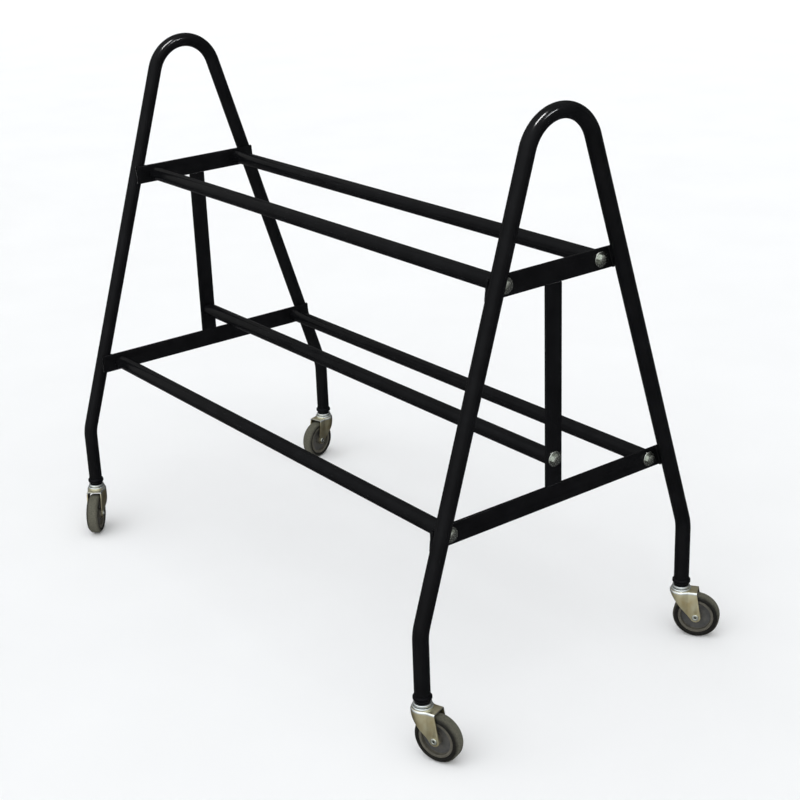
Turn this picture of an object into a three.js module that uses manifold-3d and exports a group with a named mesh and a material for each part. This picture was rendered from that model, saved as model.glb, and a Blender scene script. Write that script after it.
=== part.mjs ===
// Ball cart: two bent tube hoops, joined by welded flat bars and five bolted rails, on four swivel casters.
// Millimetres, +Z up. X runs along the rails, -Y is the front, the floor is Z = 0, and the origin lies
// under the middle of the whole outline, wheels included.
import * as THREE from "three";
import { mergeVertices } from "three/addons/utils/BufferGeometryUtils.js";
import Module from "manifold-3d";

// Hoops
const hoop_pitch = 1058;
const tube_diameter = 25.4;
const tube_wall = 1.65;
const hoop_height = 961;
const top_bend_radius = 67.4;
const foot_track = 564.8;
const foot_corner_height = 209.4;
const foot_bend_radius = 83;
const foot_end_height = 106;

// Flat bars and posts
const bar_width = 34;
const post_width = 31.75;
const bar_thickness = 4.8;
const handle_height = 255.5;
const lower_bar_height = 343.6;
const bar_lap = 5;
const weld_gap = 0.3;

// Rails
const rail_diameter = 25.4;
const rail_wall = 1.65;
const rail_plug_length = 9;
const rail_to_leg = 30.6;
const centre_rail_rise = 61.3;
const seat_gap = 0.3;

// Rail bolts
const bolt_diameter = 9.5;
const bolt_clearance = 0.4;
const bolt_grip_in_plug = 7.5;
const washer_diameter = 25.4;
const washer_thickness = 1.9;
const head_across_flats = 14.3;
const head_height = 5.8;

// Stem sockets
const socket_clearance = 0.45;
const socket_depth = 42;
const bead_diameter = 30.4;
const bead_height = 9;
const neck_diameter = 24.6;
const neck_height = 3.3;
const socket_lead_in = 2;

// Stems and swivel races
const stem_diameter = 11.1;
const stem_length = 36.5;
const stem_tip_chamfer = 1.5;
const stem_clearance = 0.3;
const stem_rivet_diameter = 18;
const stem_rivet_height = 3;
const stem_rivet_bevel = 1.2;
const cup_diameter = 29.6;
const cup_height = 3.9;
const cup_wall = 1.5;
const cup_shoulder = 1.2;
const race_diameter = 33.6;
const race_height = 3.1;
const race_lip = 3.6;
const race_floor_height = 0.7;
const race_shoulder = 1.1;
const ball_diameter = 4.8;
const ball_circle_diameter = 20.4;
const ball_count = 8;
const cage_width = 2.6;
const cage_thickness = 1;

// Forks
const fork_trail = 27;
const fork_sheet = 2;
const crown_height = 85.5;
const crown_diameter = 37.6;
const heel_height = 83.5;
const nose_reach = 28.5;
const nose_drop = 1;
const flank_degrees = 20;
const leg_tip_radius = 8.6;
const leg_side_clearance = 1.1;

// Wheels
const wheel_diameter = 78;
const wheel_width = 23.4;
const tyre_depth = 8.7;
const tread_corner = 5.7;
const corner_cut_share = 0.29;
const tyre_bead_width = 2;
const core_gap = 0.3;
const rim_width = 20;
const rim_depth = 4.6;
const web_thickness = 7;
const hub_diameter = 19;
const hub_end_gap = 0.4;
const bushing_diameter = 12;
const bushing_clearance = 0.3;
const axle_diameter = 8;
const axle_bore = 4.6;
const axle_clearance = 0.3;
const axle_head_diameter = 11.6;
const axle_head_height = 1.5;

// How each caster has swivelled, turned about Z from the trail along +X
const swivel_degrees = { front_right: 20, back_right: 35, front_left: -40, back_left: -74 };

// Facets and the named overrun of every cut
const tube_sides = 16;
const top_bend_steps = 12;
const foot_bend_steps = 3;
const small_sides = 12;
const ring_sides = 18;
const wheel_sides = 24;
const ball_sides = 6;
const cage_sides = 16;
const corner_steps = 3;
const cut_overrun = 6;

// Sizes worked out from the ones above
const tube_radius = tube_diameter / 2;
const tube_bore_radius = tube_radius - tube_wall;
const hoop_plane = hoop_pitch / 2;
const bar_outer_face = hoop_plane - tube_radius - weld_gap;
const bar_inner_face = bar_outer_face - bar_thickness;
const rail_radius = rail_diameter / 2;
const rail_length = 2 * (bar_inner_face - seat_gap);
const foot_y = foot_track / 2;
const upper_bar_height = hoop_height - handle_height;
const top_bend_centre = hoop_height - tube_radius - top_bend_radius;
const centre_rail_height = lower_bar_height + centre_rail_rise;
const wheel_radius = wheel_diameter / 2;
const fork_gap = wheel_width + 2 * leg_side_clearance;
const fork_width = fork_gap + 2 * fork_sheet;
const crown_radius = crown_diameter / 2;
const crown_underside = crown_height - fork_sheet;
const race_top = crown_height + race_height;
const race_floor = crown_height + race_floor_height;
const ball_radius = ball_diameter / 2;
const ball_centre_height = race_floor + seat_gap + ball_radius;
const cup_top = foot_end_height - bead_height - neck_height - seat_gap;
const cup_bottom = cup_top - cup_height;
const stem_hole_radius = stem_diameter / 2 + stem_clearance;

// Finishes
const finish = (color, roughness, metalness) =>
  new THREE.MeshStandardMaterial({ color, roughness, metalness });
const black_enamel = finish("#141417", 0.25, 0.2);
const black_socket = finish("#1b1b1d", 0.45, 0);
const zinc = finish("#b9bcb8", 0.3, 0.9);
const plated_steel = finish("#a8a293", 0.28, 0.9);
const grey_plastic = finish("#4b4b4a", 0.5, 0);
const grey_rubber = finish("#3d3c39", 0.7, 0);

// Directions that a turned or extruded piece is laid along
const up = new THREE.Quaternion().setFromAxisAngle(new THREE.Vector3(1, 0, 0), Math.PI / 2);
const along_x = new THREE.Quaternion().setFromAxisAngle(new THREE.Vector3(0, 0, 1), -Math.PI / 2);
const facing_x = new THREE.Quaternion().setFromRotationMatrix(
  new THREE.Matrix4().makeBasis(
    new THREE.Vector3(0, 1, 0),
    new THREE.Vector3(0, 0, 1),
    new THREE.Vector3(1, 0, 0),
  ),
);

const wasm = await Module();
wasm.setup();

// A named mesh laid along a direction
function piece(name, geometry, material, direction) {
  const mesh = new THREE.Mesh(geometry, material);
  mesh.name = name;
  if (direction) mesh.quaternion.copy(direction);
  return mesh;
}

// A closed geometry as a solid that can be joined and cut
function solid(geometry) {
  const plain = geometry.index ? geometry.toNonIndexed() : geometry.clone();
  plain.deleteAttribute("normal");
  plain.deleteAttribute("uv");
  const merged = mergeVertices(plain);
  const mesh = new wasm.Mesh({
    numProp: 3,
    vertProperties: merged.attributes.position.array,
    triVerts: new Uint32Array(merged.index.array),
  });
  return new wasm.Manifold(mesh);
}

function geometry_of(body) {
  const mesh = body.getMesh();
  const geometry = new THREE.BufferGeometry();
  geometry.setAttribute("position", new THREE.BufferAttribute(mesh.vertProperties, 3));
  geometry.setIndex(new THREE.BufferAttribute(mesh.triVerts, 1));
  geometry.computeVertexNormals();
  return geometry;
}

// A ring or disc turned about its own Y axis, from [radius, height] points in order
function turned(points, sides, first_angle = 0) {
  const profile = points.map(([radius, height]) => new THREE.Vector2(radius, height));
  const closes_on_axis = points[0][0] === 0 && points[points.length - 1][0] === 0;
  if (!closes_on_axis) profile.push(profile[0].clone());
  return new THREE.LatheGeometry(profile, sides, first_angle, 2 * Math.PI);
}

function extruded(shape, depth, steps) {
  return new THREE.ExtrudeGeometry(shape, { depth, bevelEnabled: false, curveSegments: steps });
}

function round_hole(x, y, radius) {
  return new THREE.Path().absarc(x, y, radius, 0, 2 * Math.PI, true);
}

// A path with one section at each listed point, so that bends and straight runs get the steps they need
class StationPath extends THREE.Curve {
  constructor(stations) {
    super();
    this.stations = stations;
  }

  station(share) {
    return this.stations[Math.round(share * (this.stations.length - 1))];
  }

  getPointAt(share) {
    return this.station(share).point.clone();
  }

  getTangentAt(share) {
    return this.station(share).tangent.clone();
  }
}

// Stations of an arc in the YZ plane, from one angle to another
function arc_stations(centre_y, centre_z, radius, from, to, steps, way) {
  const stations = [];
  for (let step = 0; step <= steps; step += 1) {
    const angle = from + ((to - from) * step) / steps;
    const out = new THREE.Vector3(0, Math.cos(angle), Math.sin(angle));
    const point = out.clone().multiplyScalar(radius).add(new THREE.Vector3(0, centre_y, centre_z));
    const tangent = new THREE.Vector3(0, -Math.sin(angle), Math.cos(angle)).multiplyScalar(way);
    stations.push({ point, tangent });
  }
  return stations;
}

// The angle, seen from a circle's centre, where a line from an outside point touches the circle
function touch_angle(from_x, from_z, centre_x, centre_z, radius, way) {
  const away = Math.atan2(from_z - centre_z, from_x - centre_x);
  const opening = Math.acos(radius / Math.hypot(from_x - centre_x, from_z - centre_z));
  return away + way * opening;
}

// The straight leg touches the top bend and runs out to the corner over the foot, which sets its splay
const leg_splay = touch_angle(foot_y, foot_corner_height, 0, top_bend_centre, top_bend_radius, 1);
const leg_top_y = top_bend_radius * Math.cos(leg_splay);
const leg_top_z = top_bend_centre + top_bend_radius * Math.sin(leg_splay);
const foot_bend_z = foot_corner_height - foot_bend_radius * Math.tan(leg_splay / 2);

// Half the distance between the legs' centre lines at a height on the straight leg
function leg_half_spread(height) {
  return leg_top_y + (leg_top_z - height) * Math.tan(leg_splay);
}

// The rails, as [name, y, z]: a fixed distance inside the legs, and one along the middle
const upper_rail_y = leg_half_spread(upper_bar_height) - rail_to_leg;
const lower_rail_y = leg_half_spread(lower_bar_height) - rail_to_leg;
const rail_places = [
  ["upper_front", -upper_rail_y, upper_bar_height],
  ["upper_back", upper_rail_y, upper_bar_height],
  ["lower_front", -lower_rail_y, lower_bar_height],
  ["lower_centre", 0, centre_rail_height],
  ["lower_back", lower_rail_y, lower_bar_height],
];

function hoop_path() {
  const back_bend = arc_stations(
    foot_y - foot_bend_radius, foot_bend_z, foot_bend_radius, 0, leg_splay, foot_bend_steps, 1,
  );
  const front_bend = arc_stations(
    foot_bend_radius - foot_y, foot_bend_z, foot_bend_radius,
    Math.PI - leg_splay, Math.PI, foot_bend_steps, 1,
  );
  const top_bend = arc_stations(
    0, top_bend_centre, top_bend_radius, leg_splay, Math.PI - leg_splay, top_bend_steps, 1,
  );
  const foot = (y, way) => ({
    point: new THREE.Vector3(0, y, foot_end_height),
    tangent: new THREE.Vector3(0, 0, way),
  });
  return new StationPath([foot(foot_y, 1), ...back_bend, ...top_bend, ...front_bend, foot(-foot_y, -1)]);
}

// One hoop: a single tube, open at both feet
function hoop(name) {
  const section = new THREE.Shape().absarc(0, 0, tube_radius, 0, 2 * Math.PI, false);
  section.holes.push(round_hole(0, 0, tube_bore_radius));
  const path = hoop_path();
  const tube = new THREE.ExtrudeGeometry(section, {
    extrudePath: path,
    steps: path.stations.length - 1,
    curveSegments: tube_sides / 2,
  });
  return piece(name, tube, black_enamel);
}

// A flat plate in the YZ plane with round holes, from its middle
function plate(name, half_width, half_height, holes, hole_radius) {
  const outline = new THREE.Shape();
  outline.moveTo(-half_width, -half_height);
  outline.lineTo(half_width, -half_height);
  outline.lineTo(half_width, half_height);
  outline.lineTo(-half_width, half_height);
  outline.closePath();
  for (const [y, z] of holes) outline.holes.push(round_hole(y, z, hole_radius));
  return piece(name, extruded(outline, bar_thickness, small_sides / 2), black_enamel, facing_x);
}

const bolt_hole_radius = bolt_diameter / 2 + bolt_clearance;

function crossbar(name, height, rail_y) {
  const holes = [[-rail_y, 0], [rail_y, 0]];
  const bar = plate(name, leg_half_spread(height) + bar_lap, bar_width / 2, holes, bolt_hole_radius);
  bar.position.z = height;
  return bar;
}

// The upright strip between the two bars of one end, butted to them
function post(name) {
  const bottom = lower_bar_height + bar_width / 2 + weld_gap;
  const top = upper_bar_height - bar_width / 2 - weld_gap;
  const middle = (top + bottom) / 2;
  const holes = [[0, centre_rail_height - middle]];
  const strip = plate(name, post_width / 2, (top - bottom) / 2, holes, bolt_hole_radius);
  strip.position.z = middle;
  return strip;
}

// A rail: a tube with a tapped plug welded into each end
function rail(name, y, z) {
  const half = rail_length / 2;
  const bore = rail_radius - rail_wall;
  const plug = half - rail_plug_length;
  const profile = [
    [bolt_hole_radius, -half], [rail_radius, -half], [rail_radius, half], [bolt_hole_radius, half],
    [bolt_hole_radius, plug], [bore, plug], [bore, -plug], [bolt_hole_radius, -plug],
  ];
  const tube = piece(name, turned(profile, tube_sides), black_enamel, along_x);
  tube.position.set(0, y, z);
  return tube;
}

// A hexagon bolt with its washer, whose head points along its own +Y
const bolt_geometry = (() => {
  const shank_radius = bolt_diameter / 2;
  const washer_radius = washer_diameter / 2;
  const shank_end = -(bar_thickness + 2 * seat_gap + bolt_grip_in_plug);
  const body = turned(
    [[0, shank_end], [shank_radius, shank_end], [shank_radius, 0], [washer_radius, 0],
      [washer_radius, washer_thickness], [0, washer_thickness]],
    small_sides,
  );
  const head_radius = head_across_flats / 2 / Math.cos(Math.PI / 6);
  const head = new THREE.CylinderGeometry(head_radius, head_radius, head_height, 6);
  head.translate(0, washer_thickness + head_height / 2, 0);
  const lowered = head.clone().translate(0, -washer_thickness / 2, 0);
  return geometry_of(solid(body).add(solid(head)).add(solid(lowered)));
})();

function bolt(name, side, y, z) {
  const fastener = piece(name, bolt_geometry, zinc, along_x);
  if (side < 0) fastener.rotateX(Math.PI);
  fastener.position.set(side * (bar_outer_face + seat_gap), y, z);
  return fastener;
}

// Everything of one end: hoop, bars, post and the bolts of the five rails
function end_frame(end, side) {
  const frame = new THREE.Group();
  const tube = hoop("hoop_" + end);
  tube.position.x = side * hoop_plane;
  const plate_x = side > 0 ? bar_inner_face : -bar_outer_face;
  const plates = [
    crossbar("upper_crossbar_" + end, upper_bar_height, upper_rail_y),
    crossbar("lower_crossbar_" + end, lower_bar_height, lower_rail_y),
    post("post_" + end),
  ];
  for (const bar of plates) bar.position.x = plate_x;
  frame.add(tube, ...plates);
  for (const [rail_name, y, z] of rail_places) frame.add(bolt(`bolt_${rail_name}_${end}`, side, y, z));
  return frame;
}

// The black insert in a tube foot: sleeve, bead under the tube's end and neck, bored for the stem
function stem_socket(name) {
  const sleeve = tube_bore_radius * Math.cos(Math.PI / tube_sides) - socket_clearance;
  const bore = stem_diameter / 2 + stem_clearance;
  const neck = neck_diameter / 2;
  const bead = bead_diameter / 2;
  const bead_bottom = foot_end_height - seat_gap - bead_height;
  const bead_top = foot_end_height - seat_gap;
  const bead_middle = (bead_bottom + bead_top) / 2;
  const top = foot_end_height + socket_depth;
  const profile = [
    [bore, bead_bottom - neck_height], [neck, bead_bottom - neck_height], [neck, bead_bottom],
    [bead, bead_middle], [tube_radius, bead_top], [sleeve, bead_top],
    [sleeve, top - socket_lead_in], [sleeve - socket_lead_in, top], [bore, top],
  ];
  return piece(name, turned(profile, tube_sides), black_socket, up);
}

// The stem that plugs into the socket and is riveted over below the fork's crown
function stem(name) {
  const radius = stem_diameter / 2;
  const rivet = stem_rivet_diameter / 2;
  const rivet_top = crown_underside - seat_gap;
  const rivet_bottom = rivet_top - stem_rivet_height;
  const top = cup_top + stem_length;
  const profile = [
    [0, rivet_bottom], [rivet - stem_rivet_bevel, rivet_bottom], [rivet, rivet_bottom + stem_rivet_bevel],
    [rivet, rivet_top], [radius, rivet_top], [radius, top - stem_tip_chamfer],
    [radius - stem_tip_chamfer, top], [0, top],
  ];
  return piece(name, turned(profile, small_sides), zinc, up);
}

// The pressed cup over the balls, seated on the stem against the socket
function race_cup(name) {
  const outer = cup_diameter / 2;
  const profile = [
    [stem_hole_radius, cup_top - cup_wall], [outer - cup_wall, cup_top - cup_wall],
    [outer - cup_wall, cup_bottom], [outer, cup_bottom], [outer, cup_top - cup_shoulder],
    [outer - cup_shoulder, cup_top], [stem_hole_radius, cup_top],
  ];
  return piece(name, turned(profile, ring_sides), plated_steel, up);
}

// The swivel balls in their cage, one ring
const ball_ring_geometry = (() => {
  const circle = ball_circle_diameter / 2;
  const inner = circle - cage_width / 2;
  const outer = circle + cage_width / 2;
  const half = cage_thickness / 2;
  const cage = turned([[inner, -half], [outer, -half], [outer, half], [inner, half]], cage_sides);
  let ring = solid(cage);
  for (let ball = 0; ball < ball_count; ball += 1) {
    const angle = (2 * Math.PI * ball) / ball_count;
    const sphere = new THREE.SphereGeometry(ball_radius, ball_sides, ball_sides / 2);
    sphere.translate(circle * Math.cos(angle), 0, circle * Math.sin(angle));
    ring = ring.add(solid(sphere));
  }
  return geometry_of(ring);
})();

// The fork's outline from the side: crown, slanted leading edge, round tip and near upright trailing edge
function fork_side() {
  const nose_bottom = crown_underside - nose_drop;
  const heel_angle = touch_angle(-crown_radius, heel_height, fork_trail, wheel_radius, leg_tip_radius, 1);
  const nose_angle = touch_angle(nose_reach, nose_bottom, fork_trail, wheel_radius, leg_tip_radius, -1);
  const outline = new THREE.Shape();
  outline.moveTo(-crown_radius, heel_height);
  outline.absarc(fork_trail, wheel_radius, leg_tip_radius, heel_angle, nose_angle + 2 * Math.PI, false);
  outline.lineTo(nose_reach, nose_bottom);
  outline.lineTo(nose_reach, crown_height);
  outline.lineTo(-crown_radius, crown_height);
  outline.closePath();
  return outline;
}

// The fork's outline from above: round about the stem, then drawn in to two parallel legs
function fork_plan(inset) {
  const radius = crown_radius - inset;
  const half_width = fork_width / 2 - inset;
  const reach = fork_trail + leg_tip_radius + cut_overrun;
  const flank = THREE.MathUtils.degToRad(flank_degrees);
  const flank_length = (radius * Math.cos(flank) - half_width) / Math.tan(flank);
  const leg_start = radius * Math.sin(flank) + flank_length;
  const outline = new THREE.Shape();
  outline.moveTo(reach, -half_width);
  outline.lineTo(reach, half_width);
  outline.lineTo(leg_start, half_width);
  outline.absarc(0, 0, radius, Math.PI / 2 - flank, 1.5 * Math.PI + flank, false);
  outline.lineTo(leg_start, -half_width);
  outline.closePath();
  return outline;
}

// A hole along the fork's own Y through both legs, and one along Z through the crown
function cross_hole(radius, x, z) {
  const length = fork_width + 2 * cut_overrun;
  return new THREE.CylinderGeometry(radius, radius, length, small_sides).translate(x, 0, z);
}

function crown_hole(radius) {
  const length = fork_sheet + race_height + 2 * cut_overrun;
  const hole = new THREE.CylinderGeometry(radius, radius, length, small_sides);
  return hole.rotateX(Math.PI / 2).translate(0, 0, crown_height);
}

// The raised race that the balls run in, round the stem hole
function race_ring() {
  const radius = race_diameter / 2;
  const inner = radius - race_lip;
  const root = crown_height - fork_sheet / 2;
  const profile = [
    [stem_hole_radius, root], [radius, root], [radius, race_top - race_shoulder],
    [radius - race_shoulder, race_top], [inner, race_top], [inner, race_floor],
    [stem_hole_radius, race_floor],
  ];
  return turned(profile, ring_sides).rotateX(Math.PI / 2);
}

// The fork: one pressed sheet with a round crown, a square nose and two legs
const fork_geometry = (() => {
  const steps = 2 * corner_steps;
  const side = extruded(fork_side(), crown_diameter + 2 * cut_overrun, steps);
  side.translate(0, 0, -(crown_radius + cut_overrun)).rotateX(Math.PI / 2);
  const plan = extruded(fork_plan(0), crown_height + cut_overrun, steps);
  const inside = extruded(fork_plan(fork_sheet), crown_underside + cut_overrun, steps);
  inside.translate(0, 0, -cut_overrun);
  const fork = solid(side)
    .intersect(solid(plan))
    .subtract(solid(inside))
    .add(solid(race_ring()))
    .subtract(solid(crown_hole(stem_hole_radius)))
    .subtract(solid(cross_hole(axle_diameter / 2 + axle_clearance, fork_trail, wheel_radius)));
  return geometry_of(fork);
})();

// The hollow rivet axle, with a rolled head outside each leg
function axle(name) {
  const radius = axle_diameter / 2;
  const bore = axle_bore / 2;
  const head = axle_head_diameter / 2;
  const shoulder = fork_width / 2 + seat_gap;
  const end = shoulder + axle_head_height;
  const profile = [
    [bore, -end], [head - axle_head_height / 2, -end], [head, -shoulder], [radius, -shoulder],
    [radius, shoulder], [head, shoulder], [head - axle_head_height / 2, end], [bore, end],
  ];
  return piece(name, turned(profile, small_sides), zinc);
}

// The steel bushing held between the legs, on which the wheel turns
function bushing(name) {
  const half = fork_gap / 2 - seat_gap;
  const inner = axle_diameter / 2 + axle_clearance;
  const outer = bushing_diameter / 2;
  const profile = [[inner, -half], [outer, -half], [outer, half], [inner, half]];
  return piece(name, turned(profile, small_sides), zinc);
}

// The wheel's moulded core: hub, thin web and rim
function wheel_core(name) {
  const bore = bushing_diameter / 2 + bushing_clearance;
  const hub = hub_diameter / 2;
  const hub_half = fork_gap / 2 - seat_gap - hub_end_gap;
  const web = web_thickness / 2;
  const rim_outer = wheel_radius - tyre_depth - core_gap;
  const rim_inner = rim_outer - rim_depth;
  const rim_half = rim_width / 2;
  const profile = [
    [bore, -hub_half], [hub, -hub_half], [hub, -web], [rim_inner, -web], [rim_inner, -rim_half],
    [rim_outer, -rim_half], [rim_outer, rim_half], [rim_inner, rim_half], [rim_inner, web],
    [hub, web], [hub, hub_half], [bore, hub_half],
  ];
  return piece(name, turned(profile, wheel_sides), grey_plastic);
}

// The rubber tyre, whose flats stand at the wheel's radius so that it rests on one of them
function tyre(name) {
  const to_corners = 1 / Math.cos(Math.PI / wheel_sides);
  const inner = (wheel_radius - tyre_depth) * to_corners;
  const outer = wheel_radius * to_corners;
  const half = wheel_width / 2;
  const cut = tread_corner * corner_cut_share;
  const profile = [
    [inner, tyre_bead_width - half], [inner + tyre_bead_width, -half],
    [outer - tread_corner, -half], [outer - cut, cut - half], [outer, tread_corner - half],
    [outer, half - tread_corner], [outer - cut, half - cut], [outer - tread_corner, half],
    [inner + tyre_bead_width, half], [inner, half - tyre_bead_width],
  ];
  return piece(name, turned(profile, wheel_sides, Math.PI / wheel_sides), grey_rubber);
}

// One caster under a tube foot: fixed socket, stem and cup, a swivelling fork and a rolling wheel
function caster(corner, x, y) {
  const fixed = new THREE.Group();
  fixed.position.set(x, y, 0);
  fixed.add(stem_socket("stem_socket_" + corner), stem("stem_" + corner), race_cup("race_cup_" + corner));
  const swivel = new THREE.Group();
  swivel.rotation.z = THREE.MathUtils.degToRad(swivel_degrees[corner]);
  const balls = piece("ball_ring_" + corner, ball_ring_geometry, zinc, up);
  balls.position.z = ball_centre_height;
  const fork = piece("fork_" + corner, fork_geometry, plated_steel);
  const wheel = new THREE.Group();
  wheel.position.set(fork_trail, 0, wheel_radius);
  wheel.add(axle("axle_" + corner), bushing("bushing_" + corner));
  wheel.add(wheel_core("wheel_core_" + corner), tyre("tyre_" + corner));
  swivel.add(balls, fork, wheel);
  fixed.add(swivel);
  return fixed;
}

const cart = new THREE.Group();
cart.add(end_frame("right", 1), end_frame("left", -1));
for (const [rail_name, y, z] of rail_places) cart.add(rail("rail_" + rail_name, y, z));
cart.add(
  caster("front_right", hoop_plane, -foot_y),
  caster("back_right", hoop_plane, foot_y),
  caster("front_left", -hoop_plane, -foot_y),
  caster("back_left", -hoop_plane, foot_y),
);

// The origin goes under the middle of the outline
const outline = new THREE.Box3().setFromObject(cart, true);
const middle = outline.getCenter(new THREE.Vector3());
const assembly = new THREE.Group();
assembly.add(cart);
cart.position.set(-middle.x, -middle.y, -outline.min.z);

export default assembly;
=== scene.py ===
# %% [markdown]
# # A rolling ball cart
# The real object is two hoops of bent steel tube, joined by welded flat bars and five bolted
# rails, on four swivel casters. Its plain solids are loaded first, as a fixed frame that says
# where everything is. Each one is then made again with the rounded edges, welds and finishes
# of the real thing, in the very place that the frame gives. Blender counts in metres, so a
# length in millimetres is written times `mm`.

# %% Load the frame
import math

import bmesh
import bpy
from mathutils import Matrix, Vector


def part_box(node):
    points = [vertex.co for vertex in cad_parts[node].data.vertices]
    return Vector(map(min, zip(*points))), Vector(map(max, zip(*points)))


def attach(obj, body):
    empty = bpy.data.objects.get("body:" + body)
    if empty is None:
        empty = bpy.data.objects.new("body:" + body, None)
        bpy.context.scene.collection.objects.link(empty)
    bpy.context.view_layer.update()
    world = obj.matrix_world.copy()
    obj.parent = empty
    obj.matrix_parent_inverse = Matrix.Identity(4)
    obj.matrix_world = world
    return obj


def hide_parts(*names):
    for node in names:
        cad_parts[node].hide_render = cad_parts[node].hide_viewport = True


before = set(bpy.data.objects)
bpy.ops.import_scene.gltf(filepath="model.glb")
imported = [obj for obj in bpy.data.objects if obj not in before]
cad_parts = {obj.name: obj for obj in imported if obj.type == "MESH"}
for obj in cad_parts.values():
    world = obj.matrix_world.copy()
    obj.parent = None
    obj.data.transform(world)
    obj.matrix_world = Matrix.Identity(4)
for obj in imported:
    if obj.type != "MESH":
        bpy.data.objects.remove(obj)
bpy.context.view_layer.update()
mm = 0.001


def middle(node):
    low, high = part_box(node)
    return (low + high) / 2


def size(node):
    low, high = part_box(node)
    return high - low


print("solids:", len(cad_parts))

# %% [markdown]
# ## The camera
# A camera can be placed by eye, or worked out from known points of the object. Here the two
# hoops and their bolts fixed it: a long lens well above the cart, looking down by twenty
# degrees, with the slight roll of a camera held by hand. It is measured from the middle of
# the hoops, so that it stays right if the casters turn and the outline grows.

# %% Set up the camera
hoop_x = {"right": middle("hoop_right").x, "left": middle("hoop_left").x}
cart_y = middle("hoop_right").y
cart_middle = Vector(((hoop_x["right"] + hoop_x["left"]) / 2, cart_y, 0))

lens = bpy.data.cameras.new("studio_camera")
lens.sensor_fit = "HORIZONTAL"
lens.sensor_width = 36
lens.lens = 70.18
lens.shift_x = 0.0576
lens.shift_y = -0.0357
camera = bpy.data.objects.new("studio_camera", lens)
camera.location = cart_middle + Vector((2.13925, -1.52345, 1.38455))
camera.rotation_euler = [math.radians(turn) for turn in (69.5757, 2.5438, 53.6842)]
bpy.context.scene.collection.objects.link(camera)
bpy.context.scene.camera = camera
print("camera at", [round(place, 3) for place in camera.location])

# %% [markdown]
# ## Helpers for node trees
# Shaders and geometry trees are both chains of nodes, and writing one in a script soon gets
# long. One helper adds a node, sets its options and fills its inputs, whether with a number
# or with another node's output. A few nodes keep several sockets of one name, one for each
# type of data, so the helper looks for the one that is switched on. The inputs of a sum all
# have the same name, so a second helper fills them in order.

# %% Add one node to a tree
def socket(sockets, name):
    return next(each for each in sockets if each.name == name and each.enabled)


def fill(tree, entry, value):
    if isinstance(value, bpy.types.NodeSocket):
        tree.links.new(value, entry)
    else:
        entry.default_value = value


def step(tree, kind, inputs, **options):
    node = tree.nodes.new(kind)
    for name, value in options.items():
        setattr(node, name, value)
    for name, value in inputs.items():
        fill(tree, socket(node.inputs, name), value)
    return node


def worked_out(tree, operation, *values, kind="ShaderNodeMath"):
    node = step(tree, kind, {}, operation=operation)
    for entry, value in zip(node.inputs, values):
        fill(tree, entry, value)
    return node.outputs["Value"]


# %% Start a geometry tree with named inputs
LENGTH, NUMBER, FINISH, OBJECT = (
    "NodeSocketFloat", "NodeSocketInt", "NodeSocketMaterial", "NodeSocketObject",
)


def new_tree(name, sizes):
    tree = bpy.data.node_groups.new(name, "GeometryNodeTree")
    tree.interface.new_socket("Geometry", in_out="INPUT", socket_type="NodeSocketGeometry")
    for size_name, kind in sizes.items():
        tree.interface.new_socket(size_name, in_out="INPUT", socket_type=kind)
    tree.interface.new_socket("Geometry", in_out="OUTPUT", socket_type="NodeSocketGeometry")
    return tree, tree.nodes.new("NodeGroupInput").outputs


def end_tree(tree, geometry, finish):
    smooth = step(tree, "GeometryNodeSetShadeSmooth", {"Geometry": geometry})
    real = step(tree, "GeometryNodeRealizeInstances", {"Geometry": smooth.outputs["Geometry"]})
    coated = step(
        tree, "GeometryNodeSetMaterial", {"Geometry": real.outputs["Geometry"], "Material": finish},
    )
    tree.links.new(coated.outputs["Geometry"], tree.nodes.new("NodeGroupOutput").inputs["Geometry"])


# %% [markdown]
# ## Helpers for finished meshes
# A modifier or a tree is live: it works again each time the scene is looked at. For a part
# that others will reuse, a plain mesh is safer. So each shape is put on a short-lived holder
# object, worked on there, and read back as a mesh. The holder is thrown away.

# %% Read a worked shape back as a plain mesh
def plain_mesh(holder):
    bpy.context.view_layer.update()
    graph = bpy.context.evaluated_depsgraph_get()
    mesh = bpy.data.meshes.new_from_object(
        holder.evaluated_get(graph), preserve_all_data_layers=True, depsgraph=graph,
    )
    holder.modifiers.clear()
    bpy.data.objects.remove(holder)
    return mesh


def holder_for(mesh):
    holder = bpy.data.objects.new("holder", mesh)
    bpy.context.scene.collection.objects.link(holder)
    return holder


def grown(mesh, tree, values):
    holder = holder_for(mesh)
    modifier = holder.modifiers.new(tree.name, "NODES")
    modifier.node_group = tree
    for item in tree.interface.items_tree:
        if item.in_out == "INPUT" and item.name in values:
            modifier[item.identifier] = values[item.name]
    return plain_mesh(holder)


def worked(mesh, **modifiers):
    holder = holder_for(mesh)
    for kind, options in modifiers.items():
        modifier = holder.modifiers.new(kind, kind)
        for name, value in options.items():
            setattr(modifier, name, value)
    return plain_mesh(holder)


def eased(width):
    return {
        "width": width, "segments": 3, "limit_method": "ANGLE", "angle_limit": math.radians(40),
    }


def as_mesh(shape, name, turn_outwards=True):
    if turn_outwards:
        bmesh.ops.recalc_face_normals(shape, faces=shape.faces[:])
    mesh = bpy.data.meshes.new(name)
    shape.to_mesh(mesh)
    shape.free()
    return mesh


# %% Turn a mesh into a piece of the cart
shaded_smooth_below = math.radians(38)
pieces = {}


def finished(name, mesh, finish, body, nodes):
    mesh.name = name
    mesh.materials.clear()
    mesh.materials.append(finish)
    mesh.polygons.foreach_set("use_smooth", [True] * len(mesh.polygons))
    mesh.set_sharp_from_angle(angle=shaded_smooth_below)
    piece = bpy.data.objects.new(name, mesh)
    bpy.context.scene.collection.objects.link(piece)
    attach(piece, body)
    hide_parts(*nodes)
    pieces[name] = piece


def count(*names):
    faces = sum(len(pieces[name].data.polygons) for name in names)
    return f"{len(names)} pieces, {faces} faces"


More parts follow.
